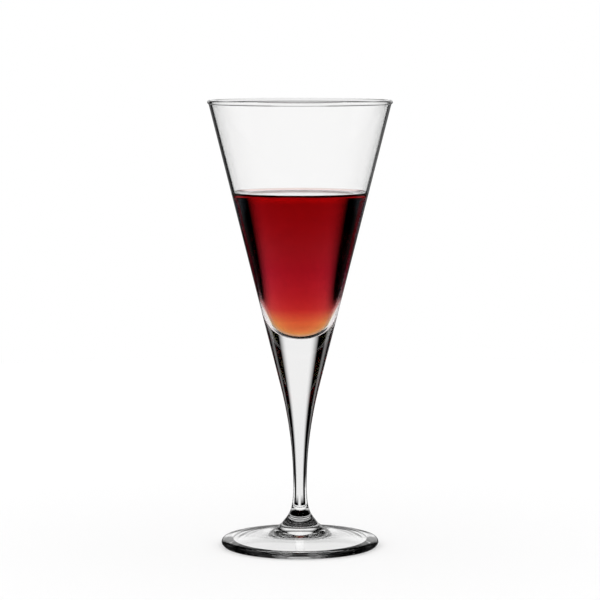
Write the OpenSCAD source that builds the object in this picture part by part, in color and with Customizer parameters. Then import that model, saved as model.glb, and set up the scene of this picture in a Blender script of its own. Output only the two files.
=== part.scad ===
// Stemmed sherry glass, part filled: a conical bowl, a waisted stem, a round foot and the drink.
// Every piece is turned about the Z axis. The table is at Z = 0.

/* [Bowl] */
// Height from the table to the top of the rim
glass_height = 170; // [155:1:190]
// Outside diameter over the rim bead
rim_diameter = 70; // [62:0.5:78]
// Diameter of the round bead along the rim
bead_diameter = 1.55; // [1.3:0.05:2.2]
// How far the bead stands out beyond the bowl's outer cone
bead_overhang = 0.35; // [0.2:0.05:0.5]
// Level thickness of the bowl's upper wall
upper_wall = 1.15; // [0.9:0.05:1.2]
// Height below which the wall thickens towards the base
knee_height = 120; // [112:0.5:128]
// Radius of the inside bend at that height
knee_radius = 200; // [80:5:300]
// Height of the bowl's inner floor above the table
floor_height = 80.8; // [77:0.2:92]
// Radius of the bowl's round inner floor
floor_radius = 8.6; // [7:0.1:10.5]
// Outside diameter of the bowl at the height of its inner floor
base_diameter = 24.6; // [22:0.1:27]
// Depth of solid glass below the inner floor, down to the weld with the stem
base_thickness = 8.8; // [5:0.1:12]

/* [Stem] */
// Height of the stem's narrowest place
waist_height = 22.6; // [19.5:0.1:26]
// Diameter of the stem's narrowest place
waist_diameter = 5.06; // [4.4:0.02:7]
// Radius of the slow spread from the waist down to the foot
spread_radius = 43.5; // [30:0.5:60]
// Height of the weld between the stem and the foot
foot_weld_height = 15.8; // [14:0.1:18]

/* [Foot] */
// Outside diameter of the foot
foot_diameter = 60; // [54:0.5:68]
// Thickness of the foot's full-round edge
foot_edge = 2.9; // [2.2:0.1:3.4]
// Radius of the flare below the weld
flare_radius = 11.5; // [10:0.1:13]
// Angle from the axis at which the flare ends
flare_end_angle = 39; // [34:1:44]
// Length of the straight slope below the flare
skirt_length = 1.5; // [0.5:0.1:2.5]
// Radius of the fillet between that slope and the foot's top
collar_fillet = 10; // [6:0.5:12]
// Inside diameter of the flat ring that the foot rests on
rest_diameter = 50; // [44:0.5:53]
// Depth of the hollow under the foot
hollow_depth = 3.4; // [2:0.1:3.8]

/* [Sherry] */
// Height of the drink's surface above the table
fill_height = 134.5; // [110:0.5:155]

/* [Hidden] */
$fn = 128;

// How far a cutting shape runs past what it cuts
overrun = 1;

// How far an arc stands past the slopes that it joins, so that it crosses them cleanly
lap = 0.005;

// How far a slope runs on past the place where it meets an arc
function run_on(radius) = 2 * sqrt(2 * radius * lap);

bead_r = bead_diameter / 2;
bead_center = [rim_diameter / 2 - bead_r, glass_height - bead_r];
base_r = base_diameter / 2;
waist_r = waist_diameter / 2;
bowl_weld_height = floor_height - base_thickness;

// The outer cone runs straight from the bead's middle past the inner floor, and on into the stem
cone_top = [rim_diameter / 2 - bead_overhang, bead_center.y];
cone_taper = (cone_top.x - base_r) / (cone_top.y - floor_height);
cone_angle = atan(cone_taper);
function cone_r(z) = base_r + (z - floor_height) * cone_taper;

// Inside, the upper wall runs beside the outer cone, and a wider cone runs from the knee to the round floor
mouth = [cone_top.x - upper_wall, cone_top.y];
knee = [cone_r(knee_height) - upper_wall, knee_height];
floor_center = [0, floor_height + floor_radius];
floor_reach = floor_radius - lap;
knee_away = knee - floor_center;
inner_angle = acos(floor_reach / norm(knee_away)) - atan2(knee_away.y, knee_away.x);
floor_tangent = floor_center + floor_reach * [cos(inner_angle), -sin(inner_angle)];

// A wide arc blends the two inner cones
upper_inward = [-cos(cone_angle), sin(cone_angle)];
lower_inward = [-cos(inner_angle), sin(inner_angle)];
knee_center = knee + knee_radius * (upper_inward + lower_inward) / (1 + upper_inward * lower_inward);
knee_top = knee_center - knee_radius * upper_inward;
knee_bottom = knee_center - knee_radius * lower_inward;

// The neck arc leaves the waist upright and ends as a tangent on the outer cone
neck_radius = (waist_r - cone_r(waist_height)) * cos(cone_angle) / (1 - cos(cone_angle));
neck_center = [waist_r + neck_radius, waist_height];
neck_end = neck_center + neck_radius * [-cos(cone_angle), sin(cone_angle)];
cone_bottom = neck_end.y - run_on(neck_radius);

// The spread leaves the waist upright and ends at the weld, where the tighter flare runs on from it
spread_center = [waist_r + spread_radius, waist_height];
spread_end_angle = asin((waist_height - foot_weld_height) / spread_radius);
spread_end = spread_center - spread_radius * [cos(spread_end_angle), sin(spread_end_angle)];
flare_center = spread_end + flare_radius * [cos(spread_end_angle), sin(spread_end_angle)];
flare_end = flare_center - flare_radius * [cos(flare_end_angle), sin(flare_end_angle)];

// The flare's slope runs straight on as a skirt
skirt_along = [sin(flare_end_angle), -cos(flare_end_angle)];
skirt_end = flare_end + skirt_length * skirt_along;
skirt_top = flare_end - run_on(flare_radius) * skirt_along;
skirt_bottom = skirt_end + run_on(collar_fillet) * skirt_along;

// The foot's top is the line that is tangent to the collar's fillet and to the round edge
edge_r = foot_edge / 2;
edge_center = [foot_diameter / 2 - edge_r, edge_r];
fillet_center = skirt_end + collar_fillet * [cos(flare_end_angle), sin(flare_end_angle)];
edge_reach = edge_r - lap;
edge_away = edge_center - fillet_center;
top_slope = atan2(-edge_away.y, edge_away.x) - asin((collar_fillet + edge_reach) / norm(edge_away));
top_normal = [sin(top_slope), cos(top_slope)];
top_along = [cos(top_slope), -sin(top_slope)];
fillet_end = fillet_center - collar_fillet * top_normal;
top_inner = fillet_end - run_on(collar_fillet) * top_along;
top_outer = edge_center + edge_reach * top_normal;

// The hollow under the foot is a shallow cap of a sphere
rest_r = rest_diameter / 2;
hollow_radius = (rest_r * rest_r + hollow_depth * hollow_depth) / (2 * hollow_depth);

// A radius that clears every piece, for the blocks that cut the outline at the welds
reach = max(rim_diameter, foot_diameter);

// Half section of the space inside the bowl
module cavity_section() {
    intersection() {
        translate(floor_center)
            circle(r = floor_radius);
        square([floor_radius, floor_center.y]);
    }
    polygon([
        [0, floor_tangent.y],
        floor_tangent,
        knee_bottom,
        [0, knee_bottom.y]
    ]);
    intersection() {
        translate(knee_center)
            circle(r = knee_radius + lap);
        translate([0, knee_bottom.y - run_on(knee_radius)])
            square([reach, knee_top.y - knee_bottom.y + 2 * run_on(knee_radius)]);
    }
    polygon([
        [0, knee_top.y],
        knee_top,
        mouth,
        [mouth.x, mouth.y + overrun],
        [0, mouth.y + overrun]
    ]);
}

// Half section of the outside of the whole glass, as if it were one solid without its rim bead
module outline_section() {
    polygon([
        [0, cone_bottom],
        [cone_r(cone_bottom), cone_bottom],
        cone_top,
        [0, cone_top.y]
    ]);
    difference() {
        translate([0, waist_height])
            square([neck_center.x, neck_end.y - waist_height]);
        translate(neck_center)
            circle(r = neck_radius + lap);
    }
    difference() {
        translate([0, spread_end.y])
            square([spread_center.x, waist_height - spread_end.y]);
        translate(spread_center)
            circle(r = spread_radius + lap);
    }
    difference() {
        translate([0, flare_end.y])
            square([flare_center.x, spread_end.y - flare_end.y]);
        translate(flare_center)
            circle(r = flare_radius + lap);
    }
    polygon([
        [0, skirt_bottom.y],
        skirt_bottom,
        skirt_top,
        [0, skirt_top.y]
    ]);
    difference() {
        square([fillet_end.x, skirt_end.y]);
        translate(fillet_center)
            circle(r = collar_fillet + lap);
    }
    polygon([
        [0, 0],
        [edge_center.x, 0],
        top_outer,
        top_inner,
        [0, top_inner.y]
    ]);
    translate(edge_center)
        circle(r = edge_r);
}

// The stretch of that outline between two heights
module outline_between(bottom, top) {
    intersection() {
        outline_section();
        translate([0, bottom])
            square([reach, top - bottom]);
    }
}

// Blown conical bowl with a thick base and a rounded rim bead
module bowl() {
    color([0.90, 0.94, 0.95, 0.35])
        rotate_extrude() {
            difference() {
                outline_between(bowl_weld_height, cone_top.y);
                cavity_section();
            }
            translate(bead_center)
                circle(r = bead_r);
        }
}

// Solid stem: the end of the cone, the neck arc and the slow spread below the waist
module stem() {
    color([0.84, 0.89, 0.91, 0.35])
        rotate_extrude()
            outline_between(foot_weld_height, bowl_weld_height);
}

// Pressed foot: a sloping disc with a round edge, a collar and a domed hollow underneath
module foot() {
    color([0.80, 0.86, 0.88, 0.35])
        rotate_extrude()
            difference() {
                outline_between(0, foot_weld_height);
                translate([0, hollow_depth - hollow_radius])
                    circle(r = hollow_radius);
            }
}

// The drink, which fills the bowl wall to wall up to its surface
module sherry() {
    color([0.52, 0.04, 0.09, 0.90])
        rotate_extrude()
            intersection() {
                cavity_section();
                square([rim_diameter, fill_height]);
            }
}

bowl();
stem();
foot();
sherry();
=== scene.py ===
"""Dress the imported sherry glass: clear turned glass, a ruby drink and a bright studio behind it."""
import logging
import math
from dataclasses import dataclass, field
from enum import Enum

import bpy
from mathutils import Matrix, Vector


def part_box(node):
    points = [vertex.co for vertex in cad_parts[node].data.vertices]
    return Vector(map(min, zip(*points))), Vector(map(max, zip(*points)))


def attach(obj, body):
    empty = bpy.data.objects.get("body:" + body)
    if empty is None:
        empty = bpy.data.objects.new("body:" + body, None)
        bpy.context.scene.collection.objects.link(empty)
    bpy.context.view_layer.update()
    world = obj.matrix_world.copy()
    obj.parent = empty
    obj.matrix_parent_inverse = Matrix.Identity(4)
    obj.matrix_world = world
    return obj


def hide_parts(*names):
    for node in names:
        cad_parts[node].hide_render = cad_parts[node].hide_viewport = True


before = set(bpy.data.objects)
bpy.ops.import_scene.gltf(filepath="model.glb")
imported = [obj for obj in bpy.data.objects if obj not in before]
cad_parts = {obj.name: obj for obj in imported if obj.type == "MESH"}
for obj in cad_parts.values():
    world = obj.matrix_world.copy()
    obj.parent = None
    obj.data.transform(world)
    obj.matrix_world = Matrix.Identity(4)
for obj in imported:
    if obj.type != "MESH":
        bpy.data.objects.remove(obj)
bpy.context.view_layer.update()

LOG = logging.getLogger("sherry_glass")
MM = 0.001
WHITE = (1.0, 1.0, 1.0, 1.0)

# Points nearer to each other than this are one point
SAME_PLACE = 1e-7

Point = tuple[float, float]
Stops = tuple[Point, ...]
Colour = tuple[float, float, float]
Tints = tuple[tuple[float, Colour], ...]
Socket = bpy.types.NodeSocket


class Slot(Enum):
    """The record's material slots."""

    GLASS = "clear_glass"
    SHERRY = "sherry"


@dataclass
class Outline:
    """Half section of a turned piece, as (radius, height) points from one end on the axis to the other.

    Attributes:
        points: The outline so far, in metres.
    """

    points: list[Point] = field(default_factory=list)

    def line(self, *corners: Point) -> None:
        """Run straight to each corner in turn."""
        self.points.extend(corners)

    def arc(self, centre: Point, radius: float, start: float, end: float, chords: int) -> None:
        """Add a round stretch, ends included.

        Args:
            centre: The arc's middle.
            radius: The arc's radius.
            start: Angle of the first point, from the outward direction, in radians.
            end: Angle of the last point.
            chords: Number of chords.
        """
        for number in range(chords + 1):
            angle = start + (end - start) * number / chords
            corner = (centre[0] + radius * math.cos(angle), centre[1] + radius * math.sin(angle))
            if not self.points or math.dist(self.points[-1], corner) > SAME_PLACE:
                self.points.append(corner)


@dataclass(frozen=True)
class GlassForm:
    """The sizes that the pieces of the glass share, in metres.

    The sizes that a node's box gives come from the frame, and the rest are the part's own driving sizes.
    """

    rim_r: float
    rim_z: float
    floor_z: float
    fill_z: float
    bowl_weld_z: float
    foot_weld_z: float
    foot_r: float
    bead_r: float = 0.775 * MM
    bead_overhang: float = 0.35 * MM
    upper_wall: float = 1.15 * MM
    knee_z: float = 120.0 * MM
    knee_r: float = 200.0 * MM
    floor_r: float = 8.6 * MM
    base_r: float = 12.3 * MM
    waist_r: float = 2.53 * MM
    waist_z: float = 22.6 * MM
    spread_r: float = 43.5 * MM
    flare_r: float = 11.5 * MM
    flare_end: float = math.radians(39)
    skirt: float = 1.5 * MM
    collar_fillet: float = 10.0 * MM
    edge_r: float = 1.45 * MM
    rest_r: float = 25.0 * MM
    hollow: float = 3.4 * MM

    @classmethod
    def from_frame(cls) -> "GlassForm":
        """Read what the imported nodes' boxes give.

        Returns:
            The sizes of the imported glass.
        """
        bowl_low, bowl_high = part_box("bowl")
        stem_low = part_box("stem")[0]
        foot_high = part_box("foot")[1]
        sherry_low, sherry_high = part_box("sherry")
        return cls(
            rim_r=bowl_high[0],
            rim_z=bowl_high[2],
            floor_z=sherry_low[2],
            fill_z=sherry_high[2],
            bowl_weld_z=bowl_low[2],
            foot_weld_z=stem_low[2],
            foot_r=foot_high[0],
        )

    @property
    def bead_centre(self) -> Point:
        """Middle of the rim bead's round section."""
        return (self.rim_r - self.bead_r, self.rim_z - self.bead_r)

    @property
    def cone_top(self) -> Point:
        """Where the outer cone would end, inside the bead."""
        return (self.rim_r - self.bead_overhang, self.bead_centre[1])

    @property
    def cone_angle(self) -> float:
        """Half angle of the outer cone."""
        top = self.cone_top
        return math.atan2(top[0] - self.base_r, top[1] - self.floor_z)

    def outer_radius(self, height: float) -> float:
        """Radius of the outer cone at a height."""
        return self.base_r + (height - self.floor_z) * math.tan(self.cone_angle)

    @property
    def mouth(self) -> Point:
        """Where the upper inner cone would end, inside the bead."""
        return (self.cone_top[0] - self.upper_wall, self.cone_top[1])

    @property
    def knee(self) -> Point:
        """Where the two inner cones would meet."""
        return (self.outer_radius(self.knee_z) - self.upper_wall, self.knee_z)

    @property
    def floor_centre(self) -> Point:
        """Middle of the bowl's round inner floor."""
        return (0.0, self.floor_z + self.floor_r)

    @property
    def inner_angle(self) -> float:
        """Find how far the lower inner cone leans to touch the round floor.

        Returns:
            The cone's half angle, in radians.
        """
        rise = self.knee[1] - self.floor_centre[1]
        reach = math.hypot(self.knee[0], rise)
        return math.acos(self.floor_r / reach) - math.atan2(rise, self.knee[0])

    @property
    def knee_centre(self) -> Point:
        """Find the middle of the arc that blends the two inner cones.

        Returns:
            Its radius and height.
        """
        ways = [(-math.cos(lean), math.sin(lean)) for lean in (self.cone_angle, self.inner_angle)]
        reach = self.knee_r / (1.0 + math.cos(self.inner_angle - self.cone_angle))
        return (
            self.knee[0] + reach * (ways[0][0] + ways[1][0]),
            self.knee[1] + reach * (ways[0][1] + ways[1][1]),
        )

    @property
    def neck_r(self) -> float:
        """Radius of the arc that joins the waist to the outer cone."""
        lean = math.cos(self.cone_angle)
        return (self.waist_r - self.outer_radius(self.waist_z)) * lean / (1.0 - lean)

    @property
    def spread_centre(self) -> Point:
        """Middle of the arc along which the stem spreads below the waist."""
        return (self.waist_r + self.spread_r, self.waist_z)

    @property
    def foot_weld_angle(self) -> float:
        """Lean of the stem's side at its weld with the foot."""
        return math.asin((self.waist_z - self.foot_weld_z) / self.spread_r)

    @property
    def foot_weld_r(self) -> float:
        """Radius of the stem and the foot at their weld."""
        return self.spread_centre[0] - self.spread_r * math.cos(self.foot_weld_angle)

    @property
    def flare_centre(self) -> Point:
        """Find the middle of the tighter arc that flares from the weld to the foot's top.

        Returns:
            Its radius and height.
        """
        return (
            self.foot_weld_r + self.flare_r * math.cos(self.foot_weld_angle),
            self.foot_weld_z + self.flare_r * math.sin(self.foot_weld_angle),
        )


class Lathe:
    """Turns half sections into closed meshes."""

    STEPS = 256
    CREASE = math.radians(10)

    def turn(self, name: str, outline: Outline) -> bpy.types.Object:
        """Turn an outline about the Z axis.

        Args:
            name: Name of the new piece.
            outline: Half section whose two ends lie on the axis.

        Returns:
            The finished mesh object, at the origin.
        """
        bpy.ops.object.select_all(action="DESELECT")
        bpy.ops.mesh.primitive_plane_add(size=MM, location=(0.0, 0.0, 0.0))
        piece = bpy.context.object
        piece.name = name
        piece.data.name = name
        bpy.ops.object.mode_set(mode="EDIT")
        bpy.ops.mesh.select_all(action="SELECT")
        bpy.ops.mesh.merge(type="CENTER")
        place = (0.0, 0.0)
        for number, point in enumerate(outline.points):
            step = {"value": (point[0] - place[0], 0.0, point[1] - place[1])}
            if number == 0:
                bpy.ops.transform.translate(**step)
            else:
                bpy.ops.mesh.extrude_vertices_move(TRANSFORM_OT_translate=step)
            place = point
        bpy.ops.mesh.select_all(action="SELECT")
        bpy.ops.mesh.spin(steps=self.STEPS, angle=math.tau, center=(0, 0, 0), axis=(0, 0, 1))
        bpy.ops.mesh.select_all(action="SELECT")
        bpy.ops.mesh.remove_doubles(threshold=SAME_PLACE)
        bpy.ops.mesh.normals_make_consistent(inside=False)
        bpy.ops.object.mode_set(mode="OBJECT")
        bpy.ops.object.shade_smooth_by_angle(angle=self.CREASE)
        return piece


class NodeBench:
    """Short ways to add the nodes that the finishes and the studio use.

    Attributes:
        tree: The node tree to work in.
    """

    WAVE_DETAIL = 1.0

    def __init__(self, tree: bpy.types.NodeTree) -> None:
        """Keep the tree."""
        self.tree = tree

    def node(self, kind: str) -> bpy.types.Node:
        """Add a node of a kind."""
        return self.tree.nodes.new(kind)

    def feed(self, value: Socket | float, socket: Socket) -> None:
        """Link a socket or set a number.

        Args:
            value: The socket to link from, or the number to set.
            socket: The input that takes it.
        """
        if isinstance(value, Socket):
            self.tree.links.new(value, socket)
        else:
            socket.default_value = value

    def math(self, operation: str, *values: Socket | float) -> Socket:
        """Add a sum.

        Args:
            operation: Blender's name for the operation.
            values: Sockets or plain numbers.

        Returns:
            The result's socket.
        """
        node = self.node("ShaderNodeMath")
        node.operation = operation
        for place, value in enumerate(values):
            self.feed(value, node.inputs[place])
        return node.outputs["Value"]

    def chain(self, operation: str, first: Socket, *others: Socket) -> Socket:
        """Add the same sum again and again.

        Args:
            operation: Blender's name for the operation.
            first: What the chain starts with.
            others: What joins it, one at a time.

        Returns:
            The last result's socket.
        """
        result = first
        for other in others:
            result = self.math(operation, result, other)
        return result

    def blend(self, share: Socket, first: Socket | float, second: Socket | float) -> Socket:
        """Add a mix of two numbers.

        Args:
            share: How much of the second there is.
            first: The number at share 0.
            second: The number at share 1.

        Returns:
            The mixed number's socket.
        """
        node = self.node("ShaderNodeMix")
        for value, name in ((share, "Factor"), (first, "A"), (second, "B")):
            self.feed(value, node.inputs[name])
        return node.outputs["Result"]

    def ramp(self, value: Socket, stops: Tints, low: float, high: float) -> Socket:
        """Add a colour ramp.

        Args:
            value: What the ramp runs along.
            stops: Pairs of the value and the colour there, from the lowest value on.
            low: The value at the ramp's start.
            high: The value at the ramp's end.

        Returns:
            The colour's socket.
        """
        share = self.node("ShaderNodeMapRange")
        self.feed(value, share.inputs["Value"])
        share.inputs["From Min"].default_value = low
        share.inputs["From Max"].default_value = high
        ramp = self.node("ShaderNodeValToRGB")
        self.feed(share.outputs["Result"], ramp.inputs["Fac"])
        marks = ramp.color_ramp.elements
        while len(marks) < len(stops):
            marks.new(0.5)
        for mark, (place, colour) in zip(marks, stops):
            mark.position = (place - low) / (high - low)
            mark.color = (*colour, 1.0)
        return ramp.outputs["Color"]

    def curve(self, value: Socket, stops: Stops, low: float, high: float) -> Socket:
        """Add a curve of straight stretches.

        Args:
            value: What the curve runs along.
            stops: Pairs of the value and the level there, from the lowest value on.
            low: The value at the curve's start.
            high: The value at the curve's end.

        Returns:
            The level's socket.
        """
        greys = tuple((place, (level, level, level)) for place, level in stops)
        return self.ramp(value, greys, low, high)

    def ripple(self, scale: float, depth: float) -> Socket:
        """Add a faint unevenness.

        Args:
            scale: How many waves fit in a metre.
            depth: Height of the waves, in metres.

        Returns:
            The uneven normal's socket.
        """
        waves = self.node("ShaderNodeTexNoise")
        waves.inputs["Scale"].default_value = scale
        waves.inputs["Detail"].default_value = self.WAVE_DETAIL
        self.feed(self.node("ShaderNodeTexCoord").outputs["Object"], waves.inputs["Vector"])
        bump = self.node("ShaderNodeBump")
        bump.inputs["Strength"].default_value = 1.0
        bump.inputs["Distance"].default_value = depth
        self.feed(waves.outputs[0], bump.inputs["Height"])
        return bump.outputs["Normal"]


@dataclass(frozen=True)
class ClearGlass:
    """Colourless fire-polished glass with the faint ripple that moulding leaves."""

    name: str = "clear_glass"
    tint: Colour = (0.999, 0.998, 0.997)
    ior: float = 1.51
    roughness: float = 0.0
    ripple_scale: float = 90.0
    ripple_depth: float = 0.008 * MM

    def build(self) -> bpy.types.Material:
        """Make the material.

        Returns:
            The glass.
        """
        material = bpy.data.materials.new(self.name)
        material.use_nodes = True
        shader = material.node_tree.nodes["Principled BSDF"]
        bench = NodeBench(material.node_tree)
        bench.feed(bench.ripple(self.ripple_scale, self.ripple_depth), shader.inputs["Normal"])
        shader.inputs["Base Color"].default_value = (*self.tint, 1.0)
        shader.inputs["Roughness"].default_value = self.roughness
        shader.inputs["IOR"].default_value = self.ior
        shader.inputs["Transmission Weight"].default_value = 1.0
        return material


@dataclass(frozen=True)
class WeldSeam:
    """The fused face between two glass pieces, which light crosses unbent."""

    name: str = "fused_seam"

    def build(self) -> bpy.types.Material:
        """Make the material.

        Returns:
            The seam's finish.
        """
        material = bpy.data.materials.new(self.name)
        material.use_nodes = True
        nodes = material.node_tree.nodes
        nodes.remove(nodes["Principled BSDF"])
        clear = nodes.new("ShaderNodeBsdfTransparent")
        material.node_tree.links.new(clear.outputs["BSDF"], nodes["Material Output"].inputs["Surface"])
        return material


@dataclass(frozen=True)
class RubySherry:
    """A clear ruby drink that reddens with depth, with a painted tint by height: an amber glow at the
    bottom, crimson at the surface.

    Attributes:
        passed: The light that a little of the drink lets through.
        density: How soon the rest is lost, for a metre.
        painted_glow_by_height: Pairs of the height and the painted tint of the drink's skin there. It paints
            the look of light through the drink, with an amber glow at the bottom.
        painted_glance_white: Pairs of the share of light that the skin turns back, and how far the tint
            turns white there, a painted reflection.
    """

    name: str = "ruby_sherry"
    ior: float = 1.35
    roughness: float = 0.0
    passed: Colour = (0.86, 0.12, 0.1667)
    density: float = 150.0
    painted_glow_by_height: Tints = (
        (86.5 * MM, (1.0, 1.0, 0.29)),
        (92.0 * MM, (0.80, 0.31, 0.26)),
        (97.5 * MM, (0.71, 0.275, 0.34)),
        (107.0 * MM, (0.64, 0.36, 0.62)),
        (116.0 * MM, (0.63, 0.80, 1.0)),
        (133.0 * MM, (0.63, 0.80, 1.0)),
        (134.0 * MM, (0.90, 0.78, 0.72)),
    )
    painted_glance_white: Stops = ((0.085, 0.0), (0.115, 1.0))
    ripple_scale: float = 70.0
    ripple_depth: float = 0.004 * MM

    def build(self) -> bpy.types.Material:
        """Make the material.

        Returns:
            The drink's finish.
        """
        material = bpy.data.materials.new(self.name)
        material.use_nodes = True
        tree = material.node_tree
        bench = NodeBench(tree)
        shader = tree.nodes["Principled BSDF"]
        bench.feed(self.skin(bench), shader.inputs["Base Color"])
        bench.feed(bench.ripple(self.ripple_scale, self.ripple_depth), shader.inputs["Normal"])
        shader.inputs["Roughness"].default_value = self.roughness
        shader.inputs["IOR"].default_value = self.ior
        shader.inputs["Transmission Weight"].default_value = 1.0
        depth = bench.node("ShaderNodeVolumeAbsorption")
        depth.inputs["Color"].default_value = (*self.passed, 1.0)
        depth.inputs["Density"].default_value = self.density
        bench.feed(depth.outputs["Volume"], tree.nodes["Material Output"].inputs["Volume"])
        return material

    def skin(self, bench: NodeBench) -> Socket:
        """Add the tint of the drink's skin, painted by height, which turns white where light glances off it
        as a painted reflection.

        Args:
            bench: The material's bench.

        Returns:
            The tint's socket.
        """
        split = bench.node("ShaderNodeSeparateXYZ")
        bench.feed(bench.node("ShaderNodeTexCoord").outputs["Object"], split.inputs["Vector"])
        # Painted glow: the tint by height paints how light through the drink looks, amber at the bottom and
        # crimson higher up
        painted_glow_tint = bench.ramp(split.outputs["Z"], self.painted_glow_by_height, self.painted_glow_by_height[0][0], self.painted_glow_by_height[-1][0])
        # Painted reflection: the tint turns white at grazing angles, where light glances off the skin
        sheen = bench.node("ShaderNodeFresnel").outputs["Fac"]
        clear = bench.node("ShaderNodeMix")
        clear.data_type = "RGBA"
        bench.feed(bench.curve(sheen, self.painted_glance_white, 0.0, 1.0), clear.inputs["Factor"])
        bench.feed(painted_glow_tint, clear.inputs["A"])
        clear.inputs["B"].default_value = WHITE
        return clear.outputs["Result"]


@dataclass
class TurnedPiece:
    """One turned piece of the object.

    Attributes:
        form: The shared sizes.
        lathe: The turning tool.
        knee_chords: Chords along the bend in the bowl's inner wall.
        floor_chords: Chords along the bowl's round inner floor.
    """

    LEVEL = 0.999
    SEAM_REACH = 0.01 * MM

    form: GlassForm
    lathe: Lathe
    knee_chords: int = 12
    floor_chords: int = 32

    def run_inside(self, outline: Outline, beyond: float) -> None:
        """Run an outline down the bowl's inner wall to the middle of its floor.

        Args:
            outline: The outline, which has come as far as the upper wall.
            beyond: How far into the glass it runs.
        """
        form = self.form
        lean = form.inner_angle
        outline.arc(form.knee_centre, form.knee_r + beyond, -form.cone_angle, -lean, self.knee_chords)
        outline.arc(form.floor_centre, form.floor_r + beyond, -lean, -math.pi / 2, self.floor_chords)

    def dress(
        self,
        piece: bpy.types.Object,
        node: str,
        slot: Slot,
        finish: bpy.types.Material,
        seam: bpy.types.Material | None = None,
        seam_heights: tuple[float, ...] = (),
    ) -> None:
        """Give a piece its finish and tie it to the frame.

        Args:
            piece: The mesh object.
            node: The CAD node that it stands for.
            slot: The record's material slot. It is not used.
            finish: The finish all over.
            seam: The finish of the fused faces, if it has any.
            seam_heights: Heights of the fused faces.
        """
        piece.data.materials.append(finish)
        if seam is not None:
            piece.data.materials.append(seam)
        for face in piece.data.polygons:
            level = abs(face.normal.z) > self.LEVEL
            if level and any(abs(face.center.z - height) < self.SEAM_REACH for height in seam_heights):
                face.material_index = 1
        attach(piece, "root")
        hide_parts(node)
        LOG.info("%s stands for %s with %d faces", piece.name, node, len(piece.data.polygons))


@dataclass
class Bowl(TurnedPiece):
    """The conical bowl with its thick base and its rim bead."""

    bead_chords: int = 32

    def build(self, glass: bpy.types.Material, seam: bpy.types.Material) -> None:
        """Turn and dress the bowl.

        Args:
            glass: The finish all over.
            seam: The finish of the fused face.
        """
        form = self.form
        centre = form.bead_centre
        outer = self.crossing(form.cone_top, form.cone_angle)
        inner = self.crossing(form.mouth, form.cone_angle)
        start = math.atan2(outer[1] - centre[1], outer[0] - centre[0])
        end = math.atan2(inner[1] - centre[1], inner[0] - centre[0]) % math.tau
        outline = Outline()
        outline.line((0.0, form.bowl_weld_z), (form.outer_radius(form.bowl_weld_z), form.bowl_weld_z), outer)
        outline.arc(centre, form.bead_r, start, end, self.bead_chords)
        self.run_inside(outline, 0.0)
        piece = self.lathe.turn("glass_bowl", outline)
        self.dress(piece, "bowl", Slot.GLASS, glass, seam, (form.bowl_weld_z,))

    def crossing(self, top: Point, lean: float) -> Point:
        """Find where a cone's line leaves the bead downwards.

        Args:
            top: A point on the line, inside the bead.
            lean: The cone's half angle.

        Returns:
            The crossing point.
        """
        along = (math.sin(lean), math.cos(lean))
        centre = self.form.bead_centre
        offset = (top[0] - centre[0], top[1] - centre[1])
        middle = offset[0] * along[0] + offset[1] * along[1]
        spare = offset[0] ** 2 + offset[1] ** 2 - self.form.bead_r ** 2
        reach = -middle - math.sqrt(middle * middle - spare)
        return (top[0] + reach * along[0], top[1] + reach * along[1])


@dataclass
class Stem(TurnedPiece):
    """The solid waisted stem."""

    spread_chords: int = 12
    neck_chords: int = 40

    def build(self, glass: bpy.types.Material, seam: bpy.types.Material) -> None:
        """Turn and dress the stem.

        Args:
            glass: The finish all over.
            seam: The finish of the two fused faces.
        """
        form = self.form
        neck_centre = (form.waist_r + form.neck_r, form.waist_z)
        weld_r = form.outer_radius(form.bowl_weld_z)
        spread_start = math.pi + form.foot_weld_angle
        outline = Outline()
        outline.line((0.0, form.foot_weld_z), (form.foot_weld_r, form.foot_weld_z))
        outline.arc(form.spread_centre, form.spread_r, spread_start, math.pi, self.spread_chords)
        outline.arc(neck_centre, form.neck_r, math.pi, math.pi - form.cone_angle, self.neck_chords)
        outline.line((weld_r, form.bowl_weld_z), (0.0, form.bowl_weld_z))
        piece = self.lathe.turn("glass_stem", outline)
        self.dress(piece, "stem", Slot.GLASS, glass, seam, (form.bowl_weld_z, form.foot_weld_z))


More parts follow.
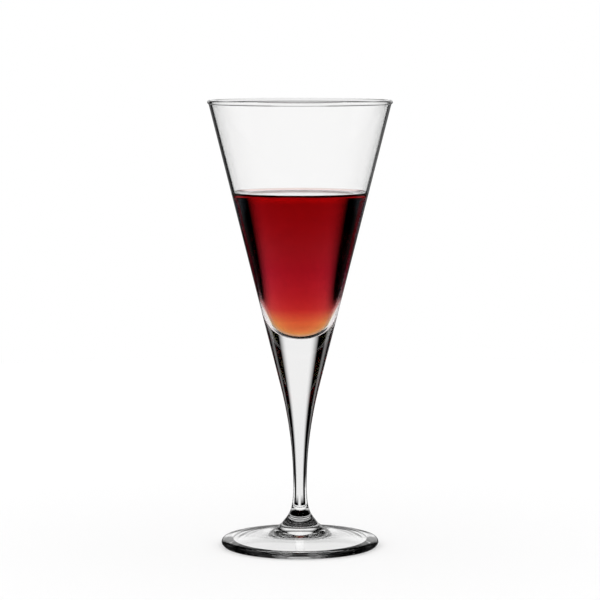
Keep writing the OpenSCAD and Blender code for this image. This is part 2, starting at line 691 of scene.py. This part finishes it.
@dataclass
class Foot(TurnedPiece):
    """The pressed foot with its collar, round edge and domed underside."""

    flare_chords: int = 20
    fillet_chords: int = 16
    edge_chords: int = 32
    hollow_chords: int = 32

    def build(self, glass: bpy.types.Material, seam: bpy.types.Material) -> None:
        """Turn and dress the foot.

        Args:
            glass: The finish all over.
            seam: The finish of the fused face.
        """
        form = self.form
        outline = Outline()
        outline.line((0.0, form.foot_weld_z), (form.foot_weld_r, form.foot_weld_z))
        self.run_over(outline)
        self.run_under(outline)
        piece = self.lathe.turn("glass_foot", outline)
        self.dress(piece, "foot", Slot.GLASS, glass, seam, (form.foot_weld_z,))

    def run_over(self, outline: Outline) -> None:
        """Run an outline from the weld down the collar, along the top and round the edge.

        Args:
            outline: The outline, which has come as far as the weld's rim.
        """
        form = self.form
        turn = form.flare_end
        flare = form.flare_centre
        flare_end = (flare[0] - form.flare_r * math.cos(turn), flare[1] - form.flare_r * math.sin(turn))
        skirt_end = (flare_end[0] + form.skirt * math.sin(turn), flare_end[1] - form.skirt * math.cos(turn))
        fillet = (
            skirt_end[0] + form.collar_fillet * math.cos(turn),
            skirt_end[1] + form.collar_fillet * math.sin(turn),
        )
        edge = (form.foot_r - form.edge_r, form.edge_r)
        away = (edge[0] - fillet[0], fillet[1] - edge[1])
        slope = math.atan2(away[1], away[0])
        slope -= math.asin((form.collar_fillet + form.edge_r) / math.hypot(*away))
        flare_start = math.pi + form.foot_weld_angle
        fillet_end = 1.5 * math.pi - slope
        outline.arc(flare, form.flare_r, flare_start, math.pi + turn, self.flare_chords)
        outline.arc(fillet, form.collar_fillet, math.pi + turn, fillet_end, self.fillet_chords)
        outline.arc(edge, form.edge_r, math.pi / 2 - slope, -math.pi / 2, self.edge_chords)

    def run_under(self, outline: Outline) -> None:
        """Run an outline in along the rest ring and up the hollow to the axis.

        Args:
            outline: The outline, which has come as far as the table.
        """
        form = self.form
        hollow_r = (form.rest_r ** 2 + form.hollow ** 2) / (2.0 * form.hollow)
        hollow_half = math.asin(form.rest_r / hollow_r)
        hollow_centre = (0.0, form.hollow - hollow_r)
        outline.line((form.rest_r, 0.0))
        outline.arc(hollow_centre, hollow_r, math.pi / 2 - hollow_half, math.pi / 2, self.hollow_chords)


@dataclass
class Drink(TurnedPiece):
    """The sherry, which wets the glass and creeps a little way up it.

    Attributes:
        wetting: How far the drink's mesh reaches into the glass, so that no air shows between them.
        creep: How far the surface climbs at the glass.
        creep_reach: How far from the glass that climb dies down to about a third.
        creep_spans: How many such reaches from the glass the surface is flat.
        creep_chords: Chords along the climb.
    """

    wetting: float = 0.15 * MM
    creep: float = 1.0 * MM
    creep_reach: float = 1.8 * MM
    creep_spans: float = 5.0
    creep_chords: int = 24

    def build(self, sherry: bpy.types.Material) -> None:
        """Turn and dress the drink.

        Args:
            sherry: The finish all over.
        """
        form = self.form
        top = form.fill_z + self.creep
        wall = form.outer_radius(top) - form.upper_wall
        flat_end = wall - self.creep_spans * self.creep_reach
        outline = Outline()
        outline.line((0.0, form.fill_z), (flat_end, form.fill_z))
        for number in range(1, self.creep_chords + 1):
            share = 1.0 - (1.0 - number / self.creep_chords) ** 2
            radius = flat_end + (wall - flat_end) * share
            rise = self.creep * math.exp(-(wall - radius) / self.creep_reach)
            outline.line((radius, form.fill_z + rise))
        outline.line((wall + self.wetting / math.cos(form.cone_angle), top))
        self.run_inside(outline, self.wetting)
        piece = self.lathe.turn("sherry_drink", outline)
        self.dress(piece, "sherry", Slot.SHERRY, sherry)


@dataclass(frozen=True)
class Card:
    """A patch of the surroundings with soft edges, whose level is its turn's times its rise's.

    Attributes:
        turn: Pairs of degrees to either side of straight behind the glass, and the level there.
        rise: Pairs of degrees above the horizon, and the level there.
    """

    turn: Stops
    rise: Stops


class RayEnd:
    """Where a ray leaves for the surroundings and what it has met, as sockets of the world's tree.

    Attributes:
        bench: The world's bench.
        path: The outputs of its Light Path node.
        turn: Degrees to either side of straight behind the glass.
        rise: Degrees above the horizon.
        bounced: 1 for a ray that has been turned back by a surface.
        unbounced: 1 for a ray that has not.
        again: 1 for a ray that has been turned back more than once.
        inside: 1 for a ray that has gone into the glass and out again.
        solid: 1 for a ray that has crossed one wall, the stem or the foot at most.
        drink: 1 for a ray that has crossed the drink.
    """

    # Counts of meetings or crossings, each halfway between two whole numbers
    ONCE = 0.5
    TWICE = 1.5
    ONE_WALL = 2.5
    TWO_WALLS = 4.5

    def __init__(self, bench: NodeBench, shift: float) -> None:
        """Add the nodes that tell where a ray goes and what it has met.

        Args:
            bench: The world's bench.
            shift: How far the surroundings are turned about the vertical, in radians.
        """
        self.bench = bench
        self.path = bench.node("ShaderNodeLightPath").outputs
        turned = bench.node("ShaderNodeVectorRotate")
        turned.rotation_type = "Z_AXIS"
        turned.inputs["Angle"].default_value = shift
        bench.feed(bench.node("ShaderNodeTexCoord").outputs["Generated"], turned.inputs["Vector"])
        split = bench.node("ShaderNodeSeparateXYZ")
        bench.feed(turned.outputs["Vector"], split.inputs["Vector"])
        side = bench.math("ABSOLUTE", split.outputs["X"])
        self.turn = bench.math("DEGREES", bench.math("ARCTAN2", side, split.outputs["Y"]))
        self.rise = bench.math("DEGREES", bench.math("ARCSINE", split.outputs["Z"]))
        turns, crossings = self.path["Glossy Depth"], self.path["Transmission Depth"]
        self.bounced = bench.math("GREATER_THAN", turns, self.ONCE)
        self.unbounced = bench.math("SUBTRACT", 1.0, self.bounced)
        self.again = bench.math("GREATER_THAN", turns, self.TWICE)
        self.inside = bench.math("GREATER_THAN", crossings, self.TWICE)
        self.solid = bench.math("LESS_THAN", crossings, self.ONE_WALL)
        self.drink = bench.math("GREATER_THAN", crossings, self.TWO_WALLS)

    def by_turn(self, stops: Stops) -> Socket:
        """Add a level that goes by the turn."""
        return self.bench.curve(self.turn, stops, 0.0, 180.0)

    def by_rise(self, stops: Stops) -> Socket:
        """Add a level that goes by the rise."""
        return self.bench.curve(self.rise, stops, -90.0, 90.0)

    def card(self, card: Card) -> Socket:
        """Add a card's level."""
        return self.bench.chain("MULTIPLY", self.by_turn(card.turn), self.by_rise(card.rise))


@dataclass(frozen=True)
class StudioCamera:
    """The camera at the photograph's viewing angle."""

    distance: float = 1032.5 * MM
    height: float = 196.4 * MM
    dip: float = math.radians(5.65)
    focal_px: float = 2732.6
    frame_px: float = 600.0
    sensor_mm: float = 36.0

    def build(self) -> None:
        """Make the camera and use it."""
        lens = bpy.data.cameras.new("studio_camera")
        lens.sensor_width = self.sensor_mm
        lens.lens = self.sensor_mm * self.focal_px / self.frame_px
        camera = bpy.data.objects.new("studio_camera", lens)
        camera.location = (0.0, -self.distance, self.height)
        camera.rotation_euler = (math.pi / 2 - self.dip, 0.0, 0.0)
        bpy.context.collection.objects.link(camera)
        bpy.context.scene.camera = camera


@dataclass(frozen=True)
class PaleFloor:
    """The plain pale floor.

    Attributes:
        gap: How far it lies below the foot.
        shade: How pale it is.
        under_r: Radius of the patch that glows under the glass. Past it the glass sees the studio.
        under_glow: Pairs of how flat a ray turned back in the glass skims the patch, and its glow there.
            Other rays see the last glow.
    """

    radius: float = 600.0 * MM
    corners: int = 128
    gap: float = 0.05 * MM
    shade: float = 0.9
    under_r: float = 27.0 * MM
    under_glow: Stops = ((0.25, 0.0), (0.6, 0.97))

    def build(self) -> None:
        """Make the floor."""
        bpy.ops.object.select_all(action="DESELECT")
        bpy.ops.mesh.primitive_circle_add(
            vertices=self.corners,
            radius=self.radius,
            fill_type="NGON",
            location=(0.0, 0.0, -self.gap),
        )
        bpy.ops.object.transform_apply(location=True, rotation=False, scale=False)
        floor = bpy.context.object
        floor.name = "pale_floor"
        floor.data.materials.append(self.finish())

    def finish(self) -> bpy.types.Material:
        """Make the floor's finish.

        Returns:
            A matt finish, which rays off or through the glass see as a glow or see past.
        """
        material = bpy.data.materials.new("pale_floor")
        material.use_nodes = True
        nodes = material.node_tree.nodes
        nodes.remove(nodes["Principled BSDF"])
        bench = NodeBench(material.node_tree)
        path = bench.node("ShaderNodeLightPath").outputs
        matt = bench.node("ShaderNodeBsdfDiffuse")
        matt.inputs["Color"].default_value = (self.shade, self.shade, self.shade, 1.0)
        clear = bench.node("ShaderNodeBsdfTransparent")
        away = bench.node("ShaderNodeVectorMath")
        away.operation = "LENGTH"
        bench.feed(bench.node("ShaderNodeTexCoord").outputs["Object"], away.inputs[0])
        beyond = bench.math("GREATER_THAN", away.outputs["Value"], self.under_r)
        glow = bench.node("ShaderNodeEmission")
        slant = bench.node("ShaderNodeLayerWeight").outputs["Facing"]
        bounced = bench.math("GREATER_THAN", path["Glossy Depth"], RayEnd.ONCE)
        mirrored = bench.curve(slant, self.under_glow, 0.0, 1.0)
        bench.feed(bench.blend(bounced, self.under_glow[-1][1], mirrored), glow.inputs["Strength"])
        through = bench.node("ShaderNodeMixShader")
        bench.feed(beyond, through.inputs["Fac"])
        bench.feed(glow.outputs["Emission"], through.inputs[1])
        bench.feed(clear.outputs["BSDF"], through.inputs[2])
        mix = bench.node("ShaderNodeMixShader")
        bench.feed(path["Is Glossy Ray"], mix.inputs["Fac"])
        bench.feed(matt.outputs["BSDF"], mix.inputs[1])
        bench.feed(through.outputs["Shader"], mix.inputs[2])
        bench.feed(mix.outputs["Shader"], nodes["Material Output"].inputs["Surface"])
        return material


@dataclass(frozen=True)
class StudioLight:
    """The white surroundings, with a lit panel and dark flags that only the glass and the drink show.

    Attributes:
        bounces: How many surfaces a ray may meet.
        shift: How far the surroundings are turned about the vertical.
        panel: The lit panel straight behind the glass.
        sweep: The panel's foot, where it curves towards the table.
        apron: The narrow strip of it that runs on along the table.
        side: The dim light that comes round the outer edges of the flags.
        wing: The light beside the glass.
        room: The light behind the camera.
        crown: The light from above that the underside of the foot turns back.
        flank: The light from the sides that it turns back.
        upward: Where a reflected ray no longer sees the flags.
        drink_upward: Where a ray through the drink sees the flags.
        steep: Below this, such a ray sees them too.
        floor_fade: Below this, the pale floor hides the flags from a ray straight through the glass.
        floor_lift: How much sooner it does so off to the sides.
        inward_rise: Where a ray that was turned back inside the glass is dimmed.
        inward_light: What is left of such a ray, or of one turned back more than once.
        backlight: The white's strength through the glass.
        surface_light: Its strength in the drink's surface and other mirrors of what is behind.
        surface_turn: How far to the sides that holds.
        drink_light: The cards' strength through the drink.
        floor_light: The strength that lights the floor.
    """

    bounces: int = 32
    shift: float = math.radians(2.4)
    panel: Card = Card(
        turn=((0, 1.0), (16.5, 1.0), (20, 0.85), (22.5, 0.62), (25, 0.38), (28.5, 0.0)),
        rise=((-8, 0.0), (-4, 0.9), (14, 0.95), (19, 0.8), (25, 0.3), (30, 0.0)),
    )
    sweep: Card = Card(
        turn=((0, 1.0), (19.5, 1.0), (25.5, 0.0)),
        rise=((-20, 0.0), (-14, 0.9), (-8, 0.9), (-4, 0.0)),
    )
    apron: Card = Card(
        turn=((0, 1.0), (4, 1.0), (9, 0.0)),
        rise=((-42, 0.0), (-24, 0.8), (-20, 0.9), (-14, 0.0)),
    )
    side: Card = Card(
        turn=((43, 0.0), (46, 0.5), (49, 1.0), (56, 1.0), (62, 0.3), (67, 0.0)),
        rise=((-20, 0.0), (-10, 0.1), (0, 0.18), (14, 0.22), (22, 0.08), (27, 0.0)),
    )
    wing: Card = Card(
        turn=((70, 0.0), (84, 1.0), (98, 1.0), (106, 0.0)),
        rise=((-40, 0.0), (-30, 1.0), (2, 1.0), (8, 0.0)),
    )
    room: Card = Card(
        turn=((98, 0.0), (106, 1.0)),
        rise=((-40, 0.0), (-30, 1.0), (25, 1.0), (40, 0.3)),
    )
    crown: Card = Card(
        turn=((0, 1.0), (60, 1.0), (90, 0.0)),
        rise=((28, 0.0), (33, 0.95), (70, 0.95)),
    )
    flank: Card = Card(
        turn=((55, 0.0), (62, 1.0), (98, 1.0), (106, 0.0)),
        rise=((-12, 0.0), (-6, 0.4), (20, 0.4), (26, 0.0)),
    )
    upward: Stops = ((-20, 0.0), (0, 1.0))
    drink_upward: Stops = ((-2, 0.0), (3, 1.0))
    steep: float = -42.0
    floor_fade: Stops = ((-31, 1.0), (-27, 0.0))
    floor_lift: Stops = ((38, 0.0), (40.5, 20.0), (60, 20.0), (64, 0.0))
    inward_rise: Stops = ((-14, 0.0), (-12, 1.0), (1, 1.0), (4, 0.0))
    inward_light: float = 0.15
    backlight: float = 1.06
    surface_light: float = 1.4
    surface_turn: Stops = ((0, 1.0), (50, 1.0), (70, 0.0))
    drink_light: float = 1.28
    floor_light: float = 1.13

    def build(self) -> None:
        """Make the world, and let light cross every glass wall in its way."""
        world = bpy.data.worlds.new("bright_studio")
        bpy.context.scene.world = world
        world.use_nodes = True
        bench = NodeBench(world.node_tree)
        ray = RayEnd(bench, self.shift)
        through = bench.blend(self.flag_share(ray), self.white(ray), self.flag_level(ray))
        unscattered = bench.math("LESS_THAN", ray.path["Diffuse Depth"], RayEnd.ONCE)
        sharp = bench.chain("MULTIPLY", unscattered, ray.path["Is Glossy Ray"])
        level = bench.blend(sharp, self.floor_light, through)
        level = bench.blend(ray.path["Is Camera Ray"], level, 1.0)
        background = world.node_tree.nodes["Background"]
        bench.feed(level, background.inputs["Strength"])
        background.inputs["Color"].default_value = WHITE
        cycles = bpy.context.scene.cycles
        cycles.max_bounces = self.bounces
        cycles.transmission_bounces = self.bounces
        cycles.glossy_bounces = self.bounces
        cycles.transparent_max_bounces = self.bounces

    def flag_share(self, ray: RayEnd) -> Socket:
        """Add the share of a ray that sees the cards and the flags between them, and not plain white.

        Args:
            ray: Where the ray leaves and what it has met.

        Returns:
            The share's socket.
        """
        bench = ray.bench
        steep = bench.math("LESS_THAN", ray.rise, self.steep)
        drink_way = bench.chain("MAXIMUM", ray.by_rise(self.drink_upward), steep)
        drink = bench.chain("MULTIPLY", ray.drink, drink_way)
        downward = bench.math("SUBTRACT", 1.0, ray.by_rise(self.upward))
        mirrored = bench.chain("MULTIPLY", ray.bounced, downward)
        share = bench.chain("MAXIMUM", drink, mirrored, ray.solid)
        sunk = bench.math("SUBTRACT", ray.rise, ray.by_turn(self.floor_lift))
        floor = bench.curve(sunk, self.floor_fade, -90.0, 90.0)
        floor = bench.chain("MULTIPLY", floor, ray.unbounced, ray.solid)
        return bench.chain("MULTIPLY", share, bench.math("SUBTRACT", 1.0, floor))

    def white(self, ray: RayEnd) -> Socket:
        """Add the strength of the plain white.

        Args:
            ray: Where the ray leaves and what it has met.

        Returns:
            The strength's socket.
        """
        behind = ray.by_turn(self.surface_turn)
        mirrored = ray.bench.chain("MULTIPLY", ray.bounced, behind, ray.by_rise(self.upward))
        return ray.bench.blend(mirrored, self.backlight, self.surface_light)

    def flag_level(self, ray: RayEnd) -> Socket:
        """Add the strength of the cards, which is 0 on the flags between them.

        Args:
            ray: Where the ray leaves and what it has met.

        Returns:
            The strength's socket.
        """
        bench = ray.bench
        cards = [ray.card(card) for card in (self.panel, self.sweep, self.apron, self.side)]
        rooms = [bench.chain("MULTIPLY", ray.card(card), ray.unbounced) for card in (self.wing, self.room)]
        level = bench.chain("ADD", *cards, *rooms)
        inward = bench.chain("MULTIPLY", ray.bounced, ray.solid, ray.by_rise(self.inward_rise))
        again = bench.chain("MULTIPLY", ray.again, ray.solid)
        gains = ((ray.drink, self.drink_light), (inward, self.inward_light), (again, self.inward_light))
        for share, strength in gains:
            level = bench.chain("MULTIPLY", level, bench.blend(share, 1.0, strength))
        once = bench.math("SUBTRACT", 1.0, ray.again)
        turned_back = bench.chain("MULTIPLY", ray.inside, ray.solid, ray.bounced, once)
        for card in (self.crown, self.flank):
            level = bench.chain("MAXIMUM", level, bench.chain("MULTIPLY", turned_back, ray.card(card)))
        return level


def main() -> None:
    """Build the glass, its drink and the studio."""
    logging.basicConfig(level=logging.INFO)
    form = GlassForm.from_frame()
    lathe = Lathe()
    glass = ClearGlass().build()
    seam = WeldSeam().build()
    sherry = RubySherry().build()
    Bowl(form, lathe).build(glass, seam)
    Stem(form, lathe).build(glass, seam)
    Foot(form, lathe).build(glass, seam)
    Drink(form, lathe).build(sherry)
    StudioCamera().build()
    PaleFloor().build()
    StudioLight().build()
    bpy.context.scene.view_settings.view_transform = "Standard"


if __name__ == "__main__":
    main()
